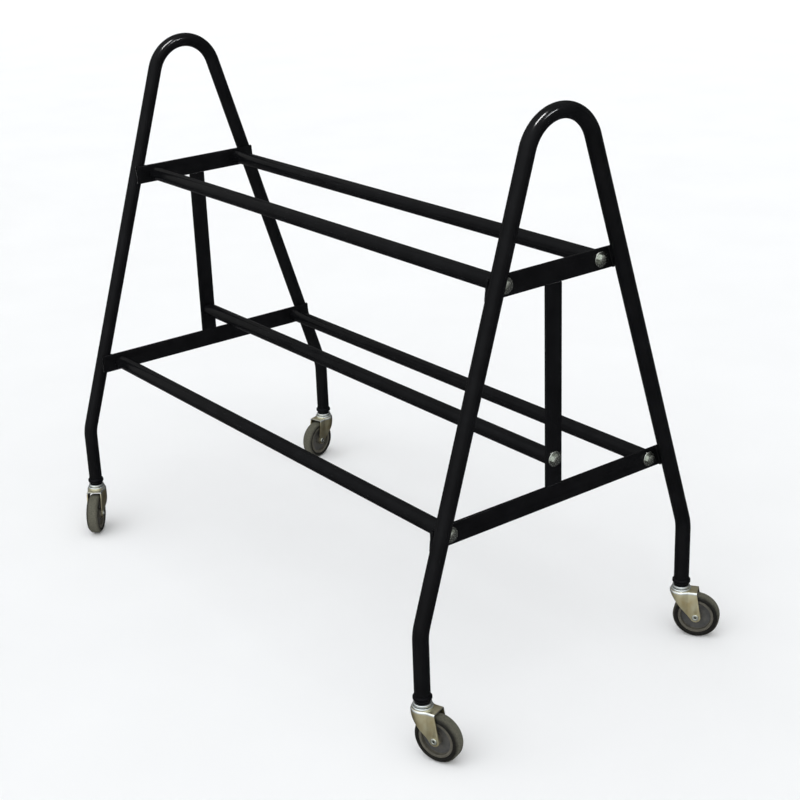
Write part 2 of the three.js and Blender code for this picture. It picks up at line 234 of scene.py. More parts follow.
# %% [markdown]
# ## Helpers for finishes
# Every finish starts from one shader. Its colour, roughness and bump come from noise in the
# object's own coordinates, which count in metres, so a scale of 500 gives about two
# features to a millimetre. A ramp turns the noise into colours, and a range turns it into
# roughness. Noise seldom leaves the middle of its range, so the range runs from 0.3 to 0.7.

# %% Start a finish and lay patterns on it
def new_finish(name, **constants):
    material = bpy.data.materials.new(name)
    material.use_nodes = True
    shader = material.node_tree.nodes["Principled BSDF"]
    for socket_name, value in constants.items():
        shader.inputs[socket_name.replace("_", " ")].default_value = value
    return material, material.node_tree, shader


def place_on_piece(tree):
    return step(tree, "ShaderNodeTexCoord", {}).outputs["Object"]


def noise(tree, scale, detail):
    return step(
        tree, "ShaderNodeTexNoise",
        {"Vector": place_on_piece(tree), "Scale": scale, "Detail": detail},
    ).outputs["Fac"]


def ramp(tree, pattern, stops):
    node = step(tree, "ShaderNodeValToRGB", {"Fac": pattern})
    colours = node.color_ramp.elements
    while len(colours) < len(stops):
        colours.new(0.5)
    for element, (place, colour) in zip(colours, stops):
        element.position = place
        element.color = (*colour, 1)
    return node.outputs["Color"]


def spread(tree, pattern, low, high):
    return step(
        tree, "ShaderNodeMapRange",
        {"Value": pattern, "From Min": 0.3, "From Max": 0.7, "To Min": low, "To Max": high},
    ).outputs["Result"]


def blended(tree, share, first, second, way="MIX"):
    node = step(
        tree, "ShaderNodeMix", {"Factor": share, "A": first, "B": second},
        data_type="RGBA", blend_type=way,
    )
    return socket(node.outputs, "Result")


def paint(tree, shader, colour, roughness):
    tree.links.new(colour, shader.inputs["Base Color"])
    tree.links.new(roughness, shader.inputs["Roughness"])


def raise_bumps(tree, shader, pattern, height, strength, below=None):
    inputs = {"Height": pattern, "Distance": height, "Strength": strength}
    if below is not None:
        inputs["Normal"] = below
    bump = step(tree, "ShaderNodeBump", inputs).outputs["Normal"]
    tree.links.new(bump, shader.inputs["Normal"])
    return bump


# %% [markdown]
# ## Black enamel
# The tubes and bars carry a hard black enamel. It is almost black where it faces a dark room
# and shows lamps as thin sharp streaks. Real enamel is never quite flat: it dries with the
# faint ripple that painters call orange peel, and a little dust dulls it in patches. The
# ripple is bump, the dust is roughness, and the colour shifts only slightly.

# %% Mix the enamel
enamel, tree, shader = new_finish("black_enamel", Specular_IOR_Level=0.055)
enamel_stops = [(0.35, (0.0042, 0.0043, 0.0048)), (0.7, (0.0062, 0.0063, 0.0070))]
paint(
    tree, shader,
    ramp(tree, noise(tree, 30, 4), enamel_stops), spread(tree, noise(tree, 22, 5), 0.12, 0.18),
)
ripple = raise_bumps(tree, shader, noise(tree, 260, 1), 0.04 * mm, 0.3)
raise_bumps(tree, shader, noise(tree, 1400, 2), 0.01 * mm, 0.3, ripple)
print("enamel nodes:", len(tree.nodes))

# %% [markdown]
# ## The hoops
# Each hoop is one tube, bent by a tube bender: up from the foot, a bend outwards, a long
# straight leg, the round top, and down again. A bender works from a line of corners and a
# radius for each, and the Fillet Curve node does just that. Five corner points become the
# whole centre line, with the tight radius at the middle one and the wide radius at the two
# low ones. A circle is then swept along it, and Solidify gives the tube its wall.

# %% Work out the hoop's corner points
tube_radius = size("hoop_right").x / 2
tube_wall = 1.65 * mm
top_bend_radius = 67.4 * mm
foot_bend_radius = 83 * mm
foot_corner_height = 209.4 * mm
hoop_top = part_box("hoop_right")[1].z
foot_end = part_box("hoop_right")[0].z
foot_y = (middle("stem_socket_back_right").y - middle("stem_socket_front_right").y) / 2

bend_centre_height = hoop_top - tube_radius - top_bend_radius
rise = bend_centre_height - foot_corner_height
splay = math.acos(top_bend_radius / math.hypot(foot_y, rise)) - math.atan2(rise, foot_y)
apex_height = foot_corner_height + foot_y / math.tan(splay)
corner_points = [
    (-foot_y, foot_end), (-foot_y, foot_corner_height), (0, apex_height),
    (foot_y, foot_corner_height), (foot_y, foot_end),
]
print("legs lean by", round(math.degrees(splay), 2), "degrees")


def leg_y(height):
    return foot_y - (height - foot_corner_height) * math.tan(splay)


def polyline(*lines):
    points, edges = [], []
    for line in lines:
        edges += [(len(points) + k, len(points) + k + 1) for k in range(len(line) - 1)]
        points += line
    mesh = bpy.data.meshes.new("polyline")
    mesh.from_pydata(points, edges, [])
    return mesh


# %% Build the tube bender
bender, given = new_tree("tube_bender", {
    "Tube radius": LENGTH, "Top bend radius": LENGTH, "Foot bend radius": LENGTH,
    "Top corner": NUMBER, "Sides": NUMBER, "Finish": FINISH,
})
line = step(bender, "GeometryNodeMeshToCurve", {"Mesh": given["Geometry"]})
corner = step(bender, "GeometryNodeInputIndex", {}).outputs["Index"]
is_top = step(
    bender, "FunctionNodeCompare", {"A": corner, "B": given["Top corner"]},
    data_type="INT", operation="EQUAL",
).outputs["Result"]
radius = step(
    bender, "GeometryNodeSwitch",
    {"Switch": is_top, "False": given["Foot bend radius"], "True": given["Top bend radius"]},
    input_type="FLOAT",
).outputs["Output"]
foot_bend_steps, top_bend_steps = 14, 64
steps_in_bend = step(
    bender, "GeometryNodeSwitch",
    {"Switch": is_top, "False": foot_bend_steps, "True": top_bend_steps}, input_type="INT",
).outputs["Output"]
bent = step(
    bender, "GeometryNodeFilletCurve",
    {"Curve": line.outputs["Curve"], "Count": steps_in_bend, "Radius": radius}, mode="POLY",
)
section = step(
    bender, "GeometryNodeCurvePrimitiveCircle",
    {"Resolution": given["Sides"], "Radius": given["Tube radius"]}, mode="RADIUS",
)
tube = step(
    bender, "GeometryNodeCurveToMesh",
    {"Curve": bent.outputs["Curve"], "Profile Curve": section.outputs["Curve"]},
)
end_tree(bender, tube.outputs["Mesh"], given["Finish"])

# %% Bend the two hoops
def flip_if_inside_out(mesh, centre_x):
    outward = sum((face.center.x - centre_x) * face.normal.x for face in mesh.polygons)
    if outward < 0:
        mesh.flip_normals()


for end, x in hoop_x.items():
    corners = polyline([(x, cart_y + y, z) for y, z in corner_points])
    skin = grown(corners, bender, {
        "Tube radius": tube_radius, "Top bend radius": top_bend_radius,
        "Foot bend radius": foot_bend_radius, "Top corner": 2, "Sides": 48, "Finish": enamel,
    })
    flip_if_inside_out(skin, x)
    wall = {"thickness": tube_wall, "offset": -1, "use_even_offset": True}
    hoop = worked(skin, SOLIDIFY=wall, BEVEL=eased(0.4 * mm))
    finished("tube_hoop_" + end, hoop, enamel, "frame", ["hoop_" + end])
print("hoops:", count("tube_hoop_right", "tube_hoop_left"))

# %% [markdown]
# ## Flat bars
# Two bars cross each hoop and an upright strip stands between them. They are cut from rolled
# flat stock, whose edges are slightly rounded, and drilled for the rail bolts. A filled
# outline with round holes, thickened by Solidify and eased by Bevel, gives that edge
# everywhere, in the holes as well.

# %% Cut a flat bar from its outline
hole_radius = 5.15 * mm
hole_sides = 40
edge_rounding = 0.7 * mm


def hole_outline(y, z):
    turns = [math.tau * k / hole_sides for k in range(hole_sides)]
    return [(y + hole_radius * math.cos(turn), z + hole_radius * math.sin(turn)) for turn in turns]


def flat_bar(node, holes):
    low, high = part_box(node)
    outline = [(low.y, low.z), (high.y, low.z), (high.y, high.z), (low.y, high.z)]
    sheet = bmesh.new()
    for loop in [outline] + [hole_outline(y, z) for y, z in holes]:
        points = [sheet.verts.new((low.x, y, z)) for y, z in loop]
        for k, point in enumerate(points):
            sheet.edges.new((points[k - 1], point))
    bmesh.ops.triangle_fill(sheet, use_beauty=True, edges=sheet.edges[:])
    for face in sheet.faces:
        if face.normal.x > 0:
            face.normal_flip()
    return worked(
        as_mesh(sheet, node, turn_outwards=False),
        SOLIDIFY={"thickness": high.x - low.x, "offset": -1}, BEVEL=eased(edge_rounding),
    )


# %% Cut the four crossbars and the two strips
rails = ("upper_front", "upper_back", "lower_front", "lower_centre", "lower_back")
carried_by = {
    "upper_crossbar": ("upper_front", "upper_back"),
    "lower_crossbar": ("lower_front", "lower_back"),
    "post": ("lower_centre",),
}
piece_names = {
    "upper_crossbar": "upper_bar", "lower_crossbar": "lower_bar", "post": "upright_strip",
}
for end in hoop_x:
    for bar, its_rails in carried_by.items():
        node = f"{bar}_{end}"
        cut = flat_bar(node, [middle("rail_" + rail).yz for rail in its_rails])
        finished(f"{piece_names[bar]}_{end}", cut, enamel, "frame", [node])
print("bars:", count(*[f"{name}_{end}" for name in piece_names.values() for end in hoop_x]))

# %% [markdown]
# ## Turned pieces
# Rails, sockets, rivets, washers and wheels are all round about an axis, as if turned on a
# lathe. Blender's Screw modifier would do, but a short function is clearer here, because it
# also lays a UV map: across it the angle runs from 0 to 1, and up it the distance along the
# profile, so that a finish can tell the tread from the sidewall. A second helper rounds the
# profile's corners first, since no real edge is sharp. Where both ends of a piece are alike,
# only half of its profile is written down, and a third helper adds the mirror image.

# %% Round the corners of a profile
def rounded(corners, steps=4):
    points = []
    for k, (radius, height, ease) in enumerate(corners):
        here = Vector((radius, height))
        if ease == 0:
            points.append(here)
            continue
        to_last = (Vector(corners[k - 1][:2]) - here).normalized()
        to_next = (Vector(corners[(k + 1) % len(corners)][:2]) - here).normalized()
        half = to_last.angle(to_next) / 2
        centre = here + (to_last + to_next).normalized() * ease / math.sin(half)
        first = here + to_last * ease / math.tan(half) - centre
        sweep = first.angle_signed(here + to_next * ease / math.tan(half) - centre)
        for share in range(steps + 1):
            points.append(centre + Matrix.Rotation(-sweep * share / steps, 2) @ first)
    return points


def with_mirror_image(half):
    return half + [(radius, -height, ease) for radius, height, ease in reversed(half)]


# %% Turn a profile about its axis
def lengths_along(profile):
    runs = [0.0]
    for k, point in enumerate(profile):
        runs.append(runs[-1] + (Vector(profile[(k + 1) % len(profile)]) - Vector(point)).length)
    return [run / runs[-1] for run in runs]


def turned(profile, sides):
    shape = bmesh.new()
    uv_map = shape.loops.layers.uv.new("UVMap")
    turns = [math.tau * k / sides for k in range(sides)]
    rings = []
    for radius, height in profile:
        if radius > 0:
            around = [(radius * math.cos(turn), radius * math.sin(turn), height) for turn in turns]
            rings.append([shape.verts.new(place) for place in around])
        else:
            rings.append([shape.verts.new((0, 0, height))] * sides)
    runs = lengths_along(profile)
    rows = len(profile) - (profile[0][0] == 0)
    for row in range(rows):
        low, high = rings[row], rings[(row + 1) % len(rings)]
        for k in range(sides):
            after = (k + 1) % sides
            corners = {
                low[k]: (k, row), low[after]: (k + 1, row),
                high[after]: (k + 1, row + 1), high[k]: (k, row + 1),
            }
            face = shape.faces.new(corners)
            for loop in face.loops:
                column, level = corners[loop.vert]
                loop[uv_map].uv = (column / sides, runs[level])
    return as_mesh(shape, "turned")


# %% [markdown]
# ## The rails
# The five rails are straight tubes of the same stock as the hoops. Each end is closed by a
# welded plug with a tapped hole, ground flush, so the rail meets the bar with a flat face
# and a slightly rounded rim.

# %% Turn the rails
along_x = Matrix.Rotation(math.pi / 2, 4, "Y")
rail_radius = size("rail_upper_front").y / 2
half_rail = size("rail_upper_front").x / 2
plug_length, rim_rounding = 9 * mm, 0.6 * mm
plug_end = half_rail - plug_length
bore = rail_radius - tube_wall
rail_profile = rounded([
    (hole_radius, -half_rail, 0), (rail_radius, -half_rail, rim_rounding),
    (rail_radius, half_rail, rim_rounding), (hole_radius, half_rail, 0),
    (hole_radius, plug_end, 0), (bore, plug_end, 0), (bore, -plug_end, 0),
    (hole_radius, -plug_end, 0),
])
for rail in rails:
    mesh = turned(rail_profile, 64)
    mesh.transform(Matrix.Translation(middle("rail_" + rail)) @ along_x)
    finished("rail_tube_" + rail, mesh, enamel, "frame", ["rail_" + rail])
print("rails:", count(*["rail_tube_" + rail for rail in rails]))

# %% [markdown]
# ## Weld beads
# The bars are arc welded to the tubes. A weld is a row of small frozen puddles, each lapping
# the last. A geometry tree lays them along the seams: it spaces points along each line, puts
# a flattened ball on every one, turned to the seam and a little uneven in size, and joins
# them. The seed is fixed, so the welds come out the same every time.

# %% Build the welder
welder, given = new_tree("welder", {
    "Bead radius": LENGTH, "Pitch": LENGTH, "Flatness": LENGTH, "Unevenness": LENGTH,
    "Seed": NUMBER, "Finish": FINISH,
})
seams = step(welder, "GeometryNodeMeshToCurve", {"Mesh": given["Geometry"]})
puddles = step(
    welder, "GeometryNodeResampleCurve",
    {"Curve": seams.outputs["Curve"], "Length": given["Pitch"]}, mode="LENGTH",
)
ball = step(
    welder, "GeometryNodeMeshIcoSphere", {"Radius": given["Bead radius"], "Subdivisions": 2},
)
direction = step(welder, "GeometryNodeInputTangent", {}).outputs["Tangent"]
lie_along = step(welder, "FunctionNodeAlignRotationToVector", {"Vector": direction}, axis="Z")
smallest = worked_out(welder, "SUBTRACT", 1.0, given["Unevenness"])
bulk = step(
    welder, "FunctionNodeRandomValue", {"Min": smallest, "Max": 1.0, "Seed": given["Seed"]},
    data_type="FLOAT",
).outputs["Value"]
length = worked_out(welder, "MULTIPLY", bulk, given["Flatness"])
scale = step(welder, "ShaderNodeCombineXYZ", {"X": bulk, "Y": bulk, "Z": length})
laid = step(welder, "GeometryNodeInstanceOnPoints", {
    "Points": puddles.outputs["Curve"], "Instance": ball.outputs["Mesh"],
    "Rotation": lie_along.outputs["Rotation"], "Scale": scale.outputs["Vector"],
})
end_tree(welder, laid.outputs["Instances"], given["Finish"])

# %% [markdown]
# A weld lies in the notch between bar and leg. The inner seam runs just off the bar's face,
# and the outer one past the bar's end, sunk towards the tube, which curves away from it.

# %% Find the seams of one end
seam_heights = (0.06, 0.5, 0.94)
off_bar_face, inside_leg = 2 * mm, 10.6 * mm
behind_bar_face, past_bar_end = 2 * mm, 1.1 * mm
tube_falls_away = 0.42


def bar_seams(bar, end, side):
    low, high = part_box(f"{bar}_{end}")
    face = high.x if side > 0 else low.x
    bar_end = high.y - cart_y
    lines = []
    for way in (-1, 1):
        inner, outer = [], []
        for share in seam_heights:
            z = low.z + share * (high.z - low.z)
            inner_y, outer_y = leg_y(z) - inside_leg, bar_end + past_bar_end
            outer_x = tube_falls_away * (bar_end - leg_y(z)) - behind_bar_face
            inner.append((face + side * off_bar_face, cart_y + way * inner_y, z))
            outer.append((face + side * outer_x, cart_y + way * outer_y, z))
        lines += [inner, outer]
    return lines


def strip_seams(end):
    low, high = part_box("post_" + end)
    from_side, from_face = 2 * mm, 0.7 * mm
    return [
        [(x, low.y + from_side, z), (x, high.y - from_side, z)]
        for x in (low.x + from_face, high.x - from_face) for z in (low.z, high.z)
    ]


# %% Weld the bars to the hoops and the strips to the bars
weld_kinds = {"leg_welds": (2.7 * mm, 11), "strip_welds": (1.5 * mm, 23)}
for end, side in (("right", 1), ("left", -1)):
    upper, lower = [bar_seams(bar, end, side) for bar in ("upper_crossbar", "lower_crossbar")]
    seam_lines = {"leg_welds": upper + lower, "strip_welds": strip_seams(end)}
    for name, (radius, seed) in weld_kinds.items():
        beads = grown(polyline(*seam_lines[name]), welder, {
            "Bead radius": radius, "Pitch": 0.72 * radius, "Flatness": 0.8, "Unevenness": 0.16,
            "Seed": seed, "Finish": enamel,
        })
        finished(f"{name}_{end}", beads, enamel, "frame", [])
print("welds:", count(*[f"{name}_{end}" for name in weld_kinds for end in hoop_x]))

# %% [markdown]
# ## Zinc plating
# Bolts, washers and rivets are plated with bright zinc, a grey metal that looks a little
# cloudy. It is a full metal in the shader, its colour and roughness vary in small patches,
# and a fine grain breaks up what it reflects.

# %% Plate with zinc
zinc, tree, shader = new_finish("zinc_plating", Metallic=1.0)
zinc_stops = [(0.3, (0.40, 0.42, 0.38)), (0.7, (0.62, 0.65, 0.60))]
paint(
    tree, shader,
    ramp(tree, noise(tree, 240, 3), zinc_stops), spread(tree, noise(tree, 500, 3), 0.15, 0.30),
)
raise_bumps(tree, shader, noise(tree, 1600, 2), 0.012 * mm, 0.5)
print("zinc nodes:", len(tree.nodes))

# %% [markdown]
# ## Bolts and washers
# Ten hexagon bolts hold the rails, each with a broad plain washer. A hexagon head is a
# hexagonal bar whose top is turned to a cone, which leaves the six curved lines under the
# flat top. That is done here by letting the head's edge drop with its distance from the
# axis. One bolt and one washer are made, and a tree stamps them on the ten places, each
# turned by a chance angle, as a spanner leaves them.

# %% Make one bolt and one washer, pointing along X
washer_thickness, washer_radius = 1.9 * mm, 12.7 * mm
across_flats, head_height, shank_radius = 14.3 * mm, 5.8 * mm, 4.75 * mm
flat_top = 0.47 * across_flats
tip_chamfer = 0.8 * mm
bolt_sides = 72
bolt_low, bolt_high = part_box("bolt_upper_front_right")
seat = bolt_high.x - head_height - washer_thickness


def hex_bolt():
    shape = bmesh.new()
    under, top, tip = washer_thickness, washer_thickness + head_height, bolt_low.x - seat
    turns = [math.radians(360 / bolt_sides * k) for k in range(bolt_sides)]

    def edge(turn):
        return across_flats / 2 / math.cos((turn + math.pi / 6) % (math.pi / 3) - math.pi / 6)

    def slope(turn):
        return top - (edge(turn) - flat_top) * math.tan(math.radians(30))

    levels = [
        lambda turn: (top, flat_top), lambda turn: (slope(turn), edge(turn)),
        lambda turn: (under, edge(turn)), lambda turn: (under, shank_radius),
        lambda turn: (tip + tip_chamfer, shank_radius),
        lambda turn: (tip, shank_radius - tip_chamfer),
    ]
    rings = []
    for level in levels:
        ring = [level(turn) for turn in turns]
        rings.append([
            shape.verts.new((x, radius * math.cos(turn), radius * math.sin(turn)))
            for turn, (x, radius) in zip(turns, ring)
        ])
    for upper, lower in zip(rings, rings[1:]):
        for k in range(bolt_sides):
            shape.faces.new((upper[k - 1], upper[k], lower[k], lower[k - 1]))
    shape.faces.new(rings[0])
    shape.faces.new(rings[-1])
    return as_mesh(shape, "hex_bolt")


washer = turned(rounded([
    (hole_radius, 0, 0.2 * mm), (washer_radius, 0, 0.2 * mm),
    (washer_radius, washer_thickness, 0.9 * mm), (hole_radius, washer_thickness, 0.3 * mm),
]), 72)
washer.transform(along_x)
print("bolt length:", round((bolt_high.x - bolt_low.x) / mm, 1), "mm")

# %% Stamp them on the ten places
stamper, given = new_tree("fastener_stamper", {
    "Fastener": OBJECT, "Seed": NUMBER, "Finish": FINISH,
})
fastener = step(stamper, "GeometryNodeObjectInfo", {"Object": given["Fastener"]})
spin = step(
    stamper, "FunctionNodeRandomValue", {"Min": 0.0, "Max": math.tau, "Seed": given["Seed"]},
    data_type="FLOAT",
).outputs["Value"]
place = step(stamper, "GeometryNodeInputPosition", {}).outputs["Position"]
place_x = step(stamper, "ShaderNodeSeparateXYZ", {"Vector": place}).outputs["X"]
on_left = worked_out(stamper, "LESS_THAN", place_x, 0.0)
half_turn_on_left = worked_out(stamper, "MULTIPLY", on_left, math.pi)
facing = step(stamper, "ShaderNodeCombineXYZ", {"X": spin, "Z": half_turn_on_left})
turn_to = step(stamper, "FunctionNodeEulerToRotation", {"Euler": facing.outputs["Vector"]})
stamped = step(stamper, "GeometryNodeInstanceOnPoints", {
    "Points": given["Geometry"], "Instance": fastener.outputs["Geometry"],
    "Rotation": turn_to.outputs["Rotation"],
})
end_tree(stamper, stamped.outputs["Instances"], given["Finish"])

left_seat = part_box("bolt_upper_front_left")[0].x + head_height + washer_thickness
seats = {"right": seat, "left": left_seat}
spots = [(seats[end], *middle("rail_" + rail).yz) for rail in rails for end in hoop_x]
places = bpy.data.meshes.new("bolt_places")
places.from_pydata(spots, [], [])
bolt_nodes = [f"bolt_{rail}_{end}" for rail in rails for end in hoop_x]
for name, shape, nodes, seed in (
    ("rail_bolts", hex_bolt(), bolt_nodes, 5), ("rail_washers", washer, [], 8),
):
    pattern = holder_for(shape)
    mesh = grown(places.copy(), stamper, {"Fastener": pattern, "Seed": seed, "Finish": zinc})
    bpy.data.objects.remove(pattern)
    finished(name, mesh, zinc, "frame", nodes)
print("bolts and washers:", count("rail_bolts", "rail_washers"))

# %% [markdown]
# ## Casters: where they stand
# Four casters stand under the feet, each turned another way. All four are alike, so each
# piece is made once, about the upright axis of its swivel and with its wheel along +X, and a
# copy is turned and moved to each foot. The direction comes from the frame: it runs from the
# middle of the stem to the middle of the axle.

# %% Find each caster's place and turn
corners = ("front_right", "back_right", "front_left", "back_left")
caster_place = {}
for corner in corners:
    foot, wheel = middle("stem_socket_" + corner), middle("axle_" + corner)
    heading = math.atan2(wheel.y - foot.y, wheel.x - foot.x)
    turned_about_stem = Matrix.Rotation(heading, 4, "Z")
    caster_place[corner] = Matrix.Translation((foot.x, foot.y, 0)) @ turned_about_stem
    print(corner, "turned by", round(math.degrees(heading), 1), "degrees")
trail = (middle("axle_front_right") - middle("stem_socket_front_right")).xy.length
wheel_radius = middle("axle_front_right").z
on_the_axle = Matrix.Translation((trail, 0, wheel_radius)) @ Matrix.Rotation(math.pi / 2, 4, "X")


def on_every_caster(name, mesh, finish, body, node):
    for corner in corners:
        copy = mesh.copy()
        copy.transform(caster_place[corner])
        rides = body if body == "frame" else f"{body}_{corner}"
        finished(f"{name}_{corner}", copy, finish, rides, [f"{node}_{corner}"])
    print(name + ":", count(*[f"{name}_{corner}" for corner in corners]))


def lying_across(profile, sides):
    mesh = turned(profile, sides)
    mesh.transform(on_the_axle)
    return mesh


# %% [markdown]
# ## Stem sockets
# A black moulded insert is pushed into each foot of the tube. What shows is a round bead
# under the tube's end and a narrower neck below it. Moulded plastic is as black as the
# enamel but duller, with soft highlights, so it gets its own finish.

# %% Mould the sockets
socket_black, tree, shader = new_finish("socket_plastic", Specular_IOR_Level=0.06)
socket_stops = [(0.35, (0.002, 0.002, 0.003)), (0.7, (0.005, 0.005, 0.006))]
paint(
    tree, shader,
    ramp(tree, noise(tree, 90, 4), socket_stops), spread(tree, noise(tree, 160, 3), 0.24, 0.38),
)
raise_bumps(tree, shader, noise(tree, 900, 2), 0.015 * mm, 0.35)

stem_hole, sleeve_radius = 5.85 * mm, tube_radius - tube_wall - 0.6 * mm
neck_radius, bead_radius, bead_top_radius = 12.3 * mm, 15.2 * mm, 12.9 * mm
socket_low, socket_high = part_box("stem_socket_front_right")
neck_top, bead_top = foot_end - 9.3 * mm, foot_end - 0.3 * mm
sleeve_taper = 2 * mm
socket_profile = rounded([
    (stem_hole, socket_low.z, 0), (neck_radius, socket_low.z, 0.6 * mm),
    (neck_radius, neck_top, 0.5 * mm), (bead_radius, neck_top + 2.6 * mm, 2 * mm),
    (bead_radius, neck_top + 6.6 * mm, 2 * mm), (bead_top_radius, bead_top, 0.4 * mm),
    (sleeve_radius, bead_top, 0), (sleeve_radius, socket_high.z - sleeve_taper, 0.5 * mm),
    (sleeve_radius - sleeve_taper, socket_high.z, 0.5 * mm), (stem_hole, socket_high.z, 0),
])
insert = turned(socket_profile, 64)
on_every_caster("socket_insert", insert, socket_black, "frame", "stem_socket")

# %% [markdown]
# ## Stems, race cups and balls
# A steel stem runs up inside the socket. A pressed cup sits on it against the socket, and
# the fork's raised race runs round under the cup on eight balls. From outside they show as
# two bright rings. The balls and their cage are hardly seen, but the gap between the rings
# would look empty without them. A tree puts the balls round the cage.
#
# The pressed parts are plated. Their colour is painted by height to stand in for what they
# reflect: a painted warm reflection tints the sides and the flat top tan, and painted
# highlights of plain grey plating lie on the crown's bend and on the raised rings. So a ramp
# over the height tells where the painted highlights show.

# %% Finish for the pressed parts
crown_top = 85.5 * mm
plating, tree, shader = new_finish("bright_plating", Metallic=1.0)
height = step(tree, "ShaderNodeSeparateXYZ", {"Vector": place_on_piece(tree)}).outputs["Z"]
level = step(tree, "ShaderNodeMapRange", {
    "Value": height, "From Min": crown_top - 6 * mm, "From Max": crown_top + 4 * mm,
}).outputs["Result"]
# By height alone, this ramp paints highlights on the bend and the rings, and a painted warm
# reflection everywhere else.
sheen_levels = ((0.1, 0.0), (0.35, 1.0), (0.52, 1.0), (0.59, 0.1), (0.61, 0.1), (0.66, 1.0))
painted_sheen = ramp(tree, level, [(place, (share,) * 3) for place, share in sheen_levels])
warm_reflection_tint = ramp(tree, noise(tree, 70, 3), [(0.3, (0.55, 0.47, 0.27)), (0.7, (0.68, 0.65, 0.46))])
plain_plating = ramp(tree, noise(tree, 90, 3), [(0.3, (0.60, 0.63, 0.62)), (0.7, (0.78, 0.82, 0.81))])
paint(
    tree, shader,
    blended(tree, painted_sheen, warm_reflection_tint, plain_plating), spread(tree, noise(tree, 120, 4), 0.32, 0.46),
)
pressing = raise_bumps(tree, shader, noise(tree, 110, 1), 0.02 * mm, 0.3)
raise_bumps(tree, shader, noise(tree, 1500, 2), 0.006 * mm, 0.3, pressing)

# %% Turn the stems and the cups
stem_radius, stem_head_radius, stem_head_height = 5.55 * mm, 9 * mm, 3 * mm
stem_low, stem_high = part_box("stem_front_right")
head_top = stem_low.z + stem_head_height
stem_profile = rounded([
    (0, stem_low.z, 0), (stem_head_radius, stem_low.z, 1.4 * mm),
    (stem_head_radius, head_top, 0.3 * mm), (stem_radius, head_top, 0),
    (stem_radius, stem_high.z, 1.5 * mm), (0, stem_high.z, 0),
])
on_every_caster("stem_pin", turned(stem_profile, 40), zinc, "frame", "stem")

cup_low, cup_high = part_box("race_cup_front_right")
cup_outer, cup_sheet = 14.8 * mm, 1.5 * mm
cup_inner, cup_ceiling = cup_outer - cup_sheet, cup_high.z - cup_sheet
cup_profile = rounded([
    (stem_hole, cup_ceiling, 0), (cup_inner, cup_ceiling, 0.3 * mm),
    (cup_inner, cup_low.z, 0.3 * mm), (cup_outer, cup_low.z, 0.3 * mm),
    (cup_outer, cup_high.z, 1.5 * mm), (stem_hole, cup_high.z, 0),
], 6)
on_every_caster("race_cap", turned(cup_profile, 64), plating, "frame", "race_cup")

# %% Ring the cage with balls
baller, given = new_tree("ball_ring", {
    "Circle radius": LENGTH, "Ball radius": LENGTH, "Height": LENGTH, "Balls": NUMBER,
    "Finish": FINISH,
})
circle = step(
    baller, "GeometryNodeCurvePrimitiveCircle",
    {"Resolution": given["Balls"], "Radius": given["Circle radius"]}, mode="RADIUS",
)
lift = step(baller, "ShaderNodeCombineXYZ", {"Z": given["Height"]})
lifted = step(
    baller, "GeometryNodeSetPosition",
    {"Geometry": circle.outputs["Curve"], "Offset": lift.outputs["Vector"]},
)
round_ball = step(
    baller, "GeometryNodeMeshIcoSphere", {"Radius": given["Ball radius"], "Subdivisions": 3},
)
ringed = step(
    baller, "GeometryNodeInstanceOnPoints",
    {"Points": lifted.outputs["Geometry"], "Instance": round_ball.outputs["Mesh"]},
)
together = step(baller, "GeometryNodeJoinGeometry", {"Geometry": given["Geometry"]})
baller.links.new(ringed.outputs["Instances"], together.inputs["Geometry"])
end_tree(baller, together.outputs["Geometry"], given["Finish"])

ball_height = middle("ball_ring_front_right").z
cage_inner, cage_outer, half_cage = 8.9 * mm, 11.5 * mm, 0.5 * mm
cage_low, cage_high = ball_height - half_cage, ball_height + half_cage
cage = turned(rounded([
    (cage_inner, cage_low, 0.2 * mm), (cage_outer, cage_low, 0.2 * mm),
    (cage_outer, cage_high, 0.2 * mm), (cage_inner, cage_high, 0.2 * mm),
], 2), 48)
balls = grown(cage, baller, {
    "Circle radius": 10.2 * mm, "Ball radius": 2.4 * mm, "Height": ball_height, "Balls": 8,
    "Finish": zinc,
})
on_every_caster("race_balls", balls, zinc, "swivel", "ball_ring")

# %% [markdown]
# ## The forks
# Each fork is pressed from one sheet of steel: a round crown, drawn down all round in a
# tight bend, with two legs that taper to the axle and a square nose in front. The real one
# is cut flat and then formed. Here the formed bell is lofted from rings of the plan, which
# shrink as they go over the bend, and a flat blade with the side view's outline trims it. A
# smaller bell taken out of it leaves the sheet, and Bevel rounds the cut edges.

# %% Draw the fork's plan at a given inset
sheet = 2 * mm
crown_radius = 18.8 * mm
leg_half_width = 14.8 * mm
reach = 45 * mm
flank = math.radians(20)
flank_rounding = 8 * mm
arc_steps, bend_steps, tip_steps = 56, 6, 32


def fork_plan(inset):
    radius, half_width = crown_radius - inset, leg_half_width - inset
    run = (radius * math.cos(flank) - half_width) / math.tan(flank)
    leg_start = radius * math.sin(flank) + run
    arc_from = math.pi / 2 - flank
    sweep = math.tau - 2 * arc_from
    turns = [arc_from + sweep * k / arc_steps for k in range(arc_steps + 1)]
    arc = [Vector((radius * math.cos(turn), radius * math.sin(turn))) for turn in turns]
    corner = rounded([
        (reach, half_width, 0), (leg_start, half_width, flank_rounding), (*arc[0], 0),
    ], 6)[1:-1]
    mirrored = [Vector((point.x, -point.y)) for point in reversed(corner)]
    return [Vector((reach, -half_width)), Vector((reach, half_width)), *corner, *arc, *mirrored]


